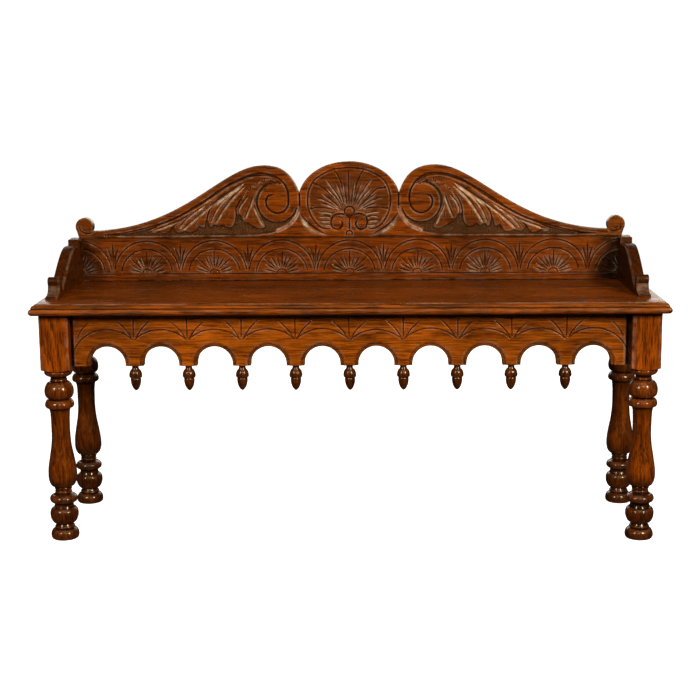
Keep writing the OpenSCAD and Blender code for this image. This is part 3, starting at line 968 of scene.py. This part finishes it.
def leg_turning():
    """Half outline of a leg as (radius, height), floor to block."""
    cup = [(17.5 + 10.7 * math.sin(a), 129 - 22 * math.cos(a)) for a in np.radians(range(0, 91, 6))]
    vase = [
        (18.1 + 10.1 * ((1 + math.cos(math.pi * t)) / 2) ** 1.4, 129 + 96 * t)
        for t in np.linspace(0.04, 1, 25)
    ]
    parts = [
        [(0, 0), (21, 0)],
        bead(0.6, 21, 23.2, 20.5, 5.6),
        bead(22, 27.5, 18.5, 17.8, 1.5, 8),
        [(16.4, 30.8)],
        bead(32, 64, 17, 20.5, 9, 20),
        [(18.8, 68.5), (18.8, 73.5)],
        bead(74.5, 90.5, 20.5, 19.5, 7.2, 16),
        [(16.2, 92.5)],
        bead(93.5, 99, 15.2, 15.2, 1.4, 8),
        bead(100, 106, 15.2, 16, 1.2, 8),
        cup,
        vase,
        [(18.4, 245), (19.2, 258), (21, 264.5)],
        bead(266, 283, 24, 20.3, 5.9, 16),
        bead(285, 318, 20.6, 17, 9.4, 20),
        bead(318.8, 323, 15.8, 15.5, 0.9, 8),
        [(15.5, 326.5)],
        bead(329, 340, 19, 24.5, 5, 12),
    ]
    return np.vstack(parts)


TURNED_TOP = 340
BLOCK_RINGS = [340, 340.8, 342, 343.4, 344.8, 346, 347.5, 352, 365, 380, 400, 420, 440, 450, 453]
BLOCK_RINGS += [454]
# Darkening of each leg's vase, set leg by leg: painted shade, with some soiling.
VASE_SOOT_AND_SHADE = {"front_left_leg": 0.44, "front_right_leg": 0.18, "rear_right_leg": 0.46}
SQUARENESS = 26


def leg(node):
    """Turned leg and its square block as one skin of rings, darker towards the floor."""
    lo, hi = box_mm(node)
    cx, cy = (lo[:2] + hi[:2]) / 2
    half = (hi[0] - lo[0]) / 2
    side = np.sin(np.linspace(-1, 1, 36, endpoint=False) * math.pi / 2)
    face = np.arctan(side)
    angle = np.concatenate([face + quarter * math.pi / 2 for quarter in range(4)])
    cos, sin = np.cos(angle), np.sin(angle)
    square = half / (np.abs(cos) ** SQUARENESS + np.abs(sin) ** SQUARENESS) ** (1 / SQUARENESS)
    seed = int(abs(cx) + cx + cy + 2000)
    path = resample(leg_turning(), 1.3)
    hollow, ridge = outline_marks(path[:, 0], path[:, 1])
    rings = []
    marks = {"hollow": [], "ridge": [], "smoke": []}

    def add_ring(r, z, **values):
        rings.append(np.column_stack([cx + r * cos, cy + r * sin, np.full_like(cos, z)]))
        for key, value in values.items():
            marks[key].append(np.broadcast_to(value, cos.shape))

    vase = VASE_SOOT_AND_SHADE.get(node, 0.36)
    # darker towards the floor and in the coves; the vase darkening differs leg to leg as painted
    # shade
    for (r, z), deep, proud in zip(path, hollow, ridge):
        soot_and_shade = 0.70 - (0.70 - vase) * smooth((z - 112) / 30)
        soot_and_shade += (0.52 - vase) * smooth((z - 235) / 20)
        add_ring(r, z, hollow=deep, ridge=0.3 * proud, smoke=min(soot_and_shade + 0.5 * deep, 0.94))
    corner = np.clip((np.hypot(square * cos, square * sin) - half * 1.2) / (half * 0.16), 0, 1)
    for z in BLOCK_RINGS:
        cone = half - 2 + (z - TURNED_TOP) / 5 * (half * math.sqrt(2) - half + 2.5)
        wear = 0.35 * ripple(angle * 30, np.full_like(angle, z), 40, seed)
        r = np.minimum(square, max(cone, 0)) - np.abs(wear) * corner
        add_ring(r, z, hollow=0.0, ridge=0.8 * corner, smoke=0.0)
    rings = np.array(rings)
    dent = 0.16 * ripple(rings[:, :, 0] * 2 + rings[:, :, 1], rings[:, :, 2], 34, seed + 5)
    out = rings[:, :, :2] - [cx, cy]
    length = np.hypot(out[:, :, 0], out[:, :, 1])[:, :, None] + 1e-6
    turned_only = (rings[:, :, 2] < TURNED_TOP - 1)[:, :, None]
    rings[:, :, :2] += np.where(turned_only, out / length * dent[:, :, None], 0)
    points, faces = skin(rings)
    marks = {key: np.concatenate(rows) for key, rows in marks.items()}
    finish = turned_rear_shaded if node.startswith("rear") else turned
    make_piece(node + "_turned", points, faces, finish, [node], marks, 34)


for corner in ("front_left", "front_right", "rear_left", "rear_right"):
    leg(corner + "_leg")


ACORN_LENGTH = 50


def acorn(i):
    """Acorn pendant: thin neck, round cup and pointed nut, each a little different."""
    node = "acorn_pendant_%d" % i
    lo, hi = box_mm(node)
    cx, cy = (lo[:2] + hi[:2]) / 2
    foot = lo[2]
    top = apron_lo[2]
    k = (top - foot) / ACORN_LENGTH
    turn = np.radians(range(0, 90, 6))
    nut = [(10.3 * math.cos(a) ** 1.25, -28 - 22 * math.sin(a)) for a in turn]
    parts = [
        [(7.4, 0), (7.0, -1.0), (6.4, -4)],
        bead(-8, -24, 7.6, 10.8, 3.2, 16),
        [(9.6, -25), (10.2, -26.5)],
        nut,
        [(0.35, -ACORN_LENGTH)],
    ]
    path = resample(np.vstack(parts), 0.9)
    hollow, ridge = outline_marks(path[:, 0], path[:, 1], 2.5)
    angle = np.linspace(0, 2 * math.pi, 48, endpoint=False)
    fat = 1 + rng.normal(0, 0.012)
    lean = rng.normal(0, 0.010, 2)
    rings = []
    for r, z in path:
        x = cx + r * fat * np.cos(angle) + lean[0] * -z
        y = cy + r * fat * np.sin(angle) + lean[1] * -z
        rings.append(np.column_stack([x, y, np.full_like(angle, top + z * k)]))
    points, faces = skin(np.array(rings)[::-1])
    marks = {
        "hollow": np.repeat(hollow[::-1], len(angle)),
        "ridge": np.repeat(ridge[::-1], len(angle)) * 0.6,
    }
    make_piece("acorn_%d" % i, points, faces, acorn_oak_shaded, [node], marks, 50)


for number in range(1, 10):
    acorn(number)


# ---- seat ----


NOSE_SHARE = 0.31
CORNER_CUT = 2.2


def seat_profile(t):
    """Edge of the seat as (inset, height, darkening), from the underside to the top face."""
    nose = t * NOSE_SHARE
    # darkening: painted shade on the underside beside the nose, soiling in the quirk and step
    # creases
    under = [(8 * nose, 0, 0), (nose, 0, 0.9)]
    bull = [(x, z, 0) for x, z in arc((nose, nose), nose, nose, 270, 128, 16)[1:]]
    quirk = [(nose - 3.0, nose * 2 - 0.9, 1.0), (nose - 2.2, nose * 2 - 0.4, 1.0)]
    ovolo = [(x, z, 0) for x, z in arc((10.2, nose * 2), 5.8, t - 2.2 - nose * 2, 172, 92, 8)]
    step = [(10.4, t - 2.3, 0.9), (11.0, t - 2.4, 1.0), (11.3, t - 1.7, 0.5), (11.5, t - 0.4, 0)]
    face = [(12.1, t, 0), (16, t, 0), (30, t, 0), (60, t, 0)]
    return under + bull + quirk + ovolo + step + face


def seat_board(node, front, seed):
    """Seat board with its moulding on the outer sides and a plain joint on the others."""
    lo, hi = box_mm(node)
    t = hi[2] - lo[2]
    nx, ny = 160, 36

    def side_points(x0, x1, y0, y1):
        cut = CORNER_CUT
        bottom = [(x, y0) for x in np.linspace(x0 + cut, x1 - cut, nx)]
        right = [(x1 - 0.3 * cut, y0 + 0.3 * cut)] if front else [(x1 - 0.1, y0)]
        right += [(x1, y) for y in np.linspace(y0 + cut, y1 - 0.4, ny)]
        back = [(x, y1) for x in np.linspace(x1 - 0.3, x0 + 0.3, nx)]
        left = [(x0, y) for y in np.linspace(y1 - 0.4, y0 + cut, ny)]
        left += [(x0 + 0.3 * cut, y0 + 0.3 * cut)] if front else [(x0 + 0.1, y0)]
        return np.array(bottom + right + back + left)

    rings = []
    marks = {"hollow": [], "ridge": [], "bright": []}
    for inset, height, darkening in seat_profile(t):
        joint = 0.5 if height >= t - 0.01 else 0.0
        joint = max(joint, inset - 13 if inset > 13 else 0)
        y0 = lo[1] + (inset if front else joint)
        ring = side_points(lo[0] + inset, hi[0] - inset, y0, hi[1] - joint)
        z = np.full(len(ring), lo[2] + height)
        if 0 < height < t:
            worn = 0.28 * ripple(*ring.T, 46, seed) + 0.10 * ripple(*ring.T, 9, seed + 1)
            ring = ring - np.abs(worn)[:, None] * np.sign(ring) * [0.6, 0.6 if front else 0]
        if inset > 12:
            z = z - 0.35 * np.abs(ripple(*ring.T, 190, seed + 2))
        rings.append(np.column_stack([ring, z]))
        marks["hollow"].append(np.full(len(ring), darkening))
        proud = 0.70 if 11.2 < inset < 12.5 else 0.22 if 4 < height < 11 else 0.0
        marks["ridge"].append(np.full(len(ring), proud))
        # painted highlight on the moulding near the ends of the board
        ends = (ring[:, 1] > y0 + 3) & (np.abs(ring[:, 0]) > hi[0] - 14) & (darkening < 0.4)
        marks["bright"].append(0.65 * ends * (5 < inset < 12.5))
    points, faces = skin(rings)
    marks = {key: np.concatenate(rows) for key, rows in marks.items()}
    name, finish = ("seat_front_slab", seat_oak) if front else ("seat_rear_slab", seat_oak_rear_shaded)
    make_piece(name, points, faces, finish, [node], marks, 30)


seat_board("seat_front_board", True, 41)
seat_board("seat_rear_board", False, 51)


# ---- wings ----


ROLL = (225, 31)


def wing_side():
    """Side of a wing: cap step, ogee top edge, small front scroll and toe."""
    parts = [
        [(0, 0), (0, 92), (32, 92), (32, 81)],
        bezier((60, 82), (98, 84), (128, 66), (206, 14), 24),
        arc(ROLL, 9, 9, 199, -30, 24),
        bezier((231, 24), (231, 10), (244, 6), (255, 6), 10),
        [(258, 4), (258, 0)],
    ]
    return np.vstack(parts)


def wing(side):
    """Wing: its side outline carried through the thickness, with worn and rounded arrises."""
    node = "right_wing" if side > 0 else "left_wing"
    lo, hi = box_mm(node)
    path = resample(wing_side(), 3.0)
    along = np.roll(path, -1, 0) - np.roll(path, 1, 0)
    normal = np.column_stack([-along[:, 1], along[:, 0]])
    normal /= np.hypot(*normal.T)[:, None] + 1e-9
    free = (path[:, 1] > 0.5) & (path[:, 0] > 0.5)
    thick = hi[0] - lo[0]
    inner, outer = (lo[0], hi[0]) if side > 0 else (hi[0], lo[0])
    sign = 1 if outer > inner else -1
    top = free & (path[:, 0] < 215)
    layers = [(0, 5.6, 0.0), (0, 3.4, 1.0), (0.9, 2.1, 1.0), (3.6, 0.0, 1.0), (4.6, 0.0, 0.0)]
    layers += [(thick / 2, 0, 0), (thick - 1.8, 0, 0), (thick - 1.1, 0.3, 0.6)]
    layers += [(thick - 0.3, 1.0, 1.0), (thick, 1.7, 0.6)]
    rings, ridge = [], []
    for depth, inset, proud in layers:
        reach = np.where(top, inset, np.minimum(inset, 1.3)) * free
        worn = 1 + 0.25 * ripple(path[:, 0], path[:, 1], 30, 61 + side)
        p = path - normal * (reach * worn)[:, None]
        x = np.full(len(p), inner + sign * depth)
        rings.append(np.column_stack([x, hi[1] - p[:, 0], lo[2] + p[:, 1]]))
        ridge.append(0.55 * proud * free.astype(float))
    rings = np.array(rings)
    if side > 0:
        rings = rings[:, ::-1]
        ridge = [r[::-1] for r in ridge]
    points, faces = skin(rings)
    darkening = [0.62 * free * (1.5 < depth < thick - 0.6) for depth, _, _ in layers]
    darkening = [row[::-1] for row in darkening] if side > 0 else darkening
    roll = 0.8 * (np.hypot(*(path - ROLL).T) < 10) * (path[:, 1] > 27)
    cove = (0.24 if side > 0 else 0.20) * (path[:, 0] > 229) * (path[:, 1] < 23) * (path[:, 1] > 5)
    roll, cove = (roll[::-1], cove[::-1]) if side > 0 else (roll, cove)
    # painted shadow over the inner face, deep on the right wing and light on the left; the roll is
    # darkened too
    soot_and_shade = np.tile(roll, len(layers))
    soot_and_shade[: len(path)] = 0.80 if side > 0 else 0.30
    marks = {"smoke": soot_and_shade, "ridge": np.concatenate(ridge), "sunk": np.concatenate(darkening)}
    # painted highlight in the cove of the front scroll, a little stronger on the right wing
    marks["bright"] = np.tile(cove, len(layers))
    marks["bright"][: 2 * len(path)] = 0
    make_piece(node + "_shaped", points, faces, wing_oak, [node], marks, 32)


wing(-1)
wing(1)


# ---- plain members kept from the CAD ----


def dress(name, finish, bevel):
    """CAD node kept as it is, with a finish, and softened arrises where a bevel width is given."""
    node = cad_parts[name]
    node.data.materials.clear()
    node.data.materials.append(finish)
    if bevel:
        soft = node.modifiers.new("arris", "BEVEL")
        soft.width = bevel * MM
        soft.segments = 3
        soft.limit_method = "ANGLE"
        soft.angle_limit = math.radians(40)


dress("rear_rail", rail_x, 1.2)
for side in ("left", "right"):
    dress(side + "_end_rail", rail_y, 1.2)
    dress(side + "_back_batten", rail_z, 1.0)
for place in ("front", "rear"):
    dress(place + "_glue_blocks", block_wood, 0.8)
for dowels in ("crest_dowels", "wing_dowels"):
    dress(dowels, block_wood, 0)
for screws in ("seat_screws", "back_screws", "wing_screws", "batten_screws"):
    dress(screws, screw_steel, 0)


# ---- stage ----


FLOOR_R = 6
SWEEP_R = 3
WALL_TOP = 12


def stage():
    """Pale floor that sweeps up into a pale wall all round."""
    t = Tree("studio_paper")
    place = t.place()
    tint = t.mix(t.noise(place, 0.8), rgb(0.86, 0.86, 0.855), rgb(0.89, 0.89, 0.885))
    glow = {"Emission Color": tint, "Emission Strength": 1.1}
    paper = t.finish({"Base Color": tint, "Roughness": 0.9, **glow})
    floor = [(r, 0.0) for r in (0.002, 0.5, 1.5, 3, 4.5, FLOOR_R)]
    rise = np.radians(range(6, 91, 6))
    sweep = [(FLOOR_R + SWEEP_R * math.sin(a), SWEEP_R * (1 - math.cos(a))) for a in rise]
    wall = [(FLOOR_R + SWEEP_R, z) for z in np.linspace(SWEEP_R + 0.5, WALL_TOP, 8)]
    turn = np.linspace(0, 2 * math.pi, 72, endpoint=False)
    rings = [[(r * math.cos(a), r * math.sin(a), z) for a in turn] for r, z in floor + sweep + wall]
    points, faces = skin(rings, caps=False)
    mesh = bpy.data.meshes.new("studio_sweep")
    mesh.from_pydata(points.tolist(), [], faces)
    mesh.polygons.foreach_set("use_smooth", [True] * len(mesh.polygons))
    mesh.materials.append(paper)
    obj = bpy.data.objects.new("studio_sweep", mesh)
    bpy.context.scene.collection.objects.link(obj)
    obj.visible_glossy = False
    obj.visible_diffuse = False
    obj.visible_shadow = False


def softbox(name, place, size, power):
    """Warm rectangular lamp that looks at the middle of the bench."""
    lamp = bpy.data.lights.new(name, "AREA")
    lamp.shape = "RECTANGLE"
    lamp.size, lamp.size_y = size
    lamp.energy = power
    lamp.color = (1.0, 0.96, 0.89)
    obj = bpy.data.objects.new(name, lamp)
    obj.location = place
    obj.rotation_mode = "QUATERNION"
    obj.rotation_quaternion = (Vector((0, 0, 0.4)) - Vector(place)).to_track_quat("-Z", "Y")
    obj.visible_camera = False
    bpy.context.scene.collection.objects.link(obj)


def light():
    world = bpy.data.worlds.new("studio")
    world.use_nodes = True
    world.node_tree.nodes["Background"].inputs[0].default_value = (1.0, 1.0, 1.0, 1.0)
    world.node_tree.nodes["Background"].inputs[1].default_value = 0.035
    bpy.context.scene.world = world
    softbox("left_softbox", (-1.95, -2.6, 1.75), (0.6, 0.9), 63)
    softbox("right_softbox", (1.95, -2.6, 1.75), (0.6, 0.9), 121)
    softbox("front_fill", (0.1, -3.2, 2.3), (1.2, 0.6), 22)
    softbox("top_softbox", (0, -1.2, 2.7), (2.4, 0.5), 16)
    softbox("rear_softbox", (0, 2.8, 1.15), (3.2, 0.9), 24)


def camera():
    """Camera at the photograph's place: low telephoto, 10.6 degrees down."""
    pitch, yaw, roll = 0.1848, -0.0221, -0.0074
    cam = bpy.data.cameras.new("camera")
    cam.sensor_width = 36.0
    cam.lens = 74.59
    obj = bpy.data.objects.new("camera", cam)
    obj.location = (0.0619, -2.8841, 0.8934)
    turn = Matrix.Rotation(-yaw, 4, "Z") @ Matrix.Rotation(math.pi / 2 - pitch, 4, "X")
    turn = turn @ Matrix.Rotation(roll, 4, "Z")
    obj.rotation_mode = "QUATERNION"
    obj.rotation_quaternion = turn.to_quaternion()
    bpy.context.scene.collection.objects.link(obj)
    bpy.context.scene.camera = obj


stage()
light()
camera()
bpy.context.scene.view_settings.view_transform = "Standard"
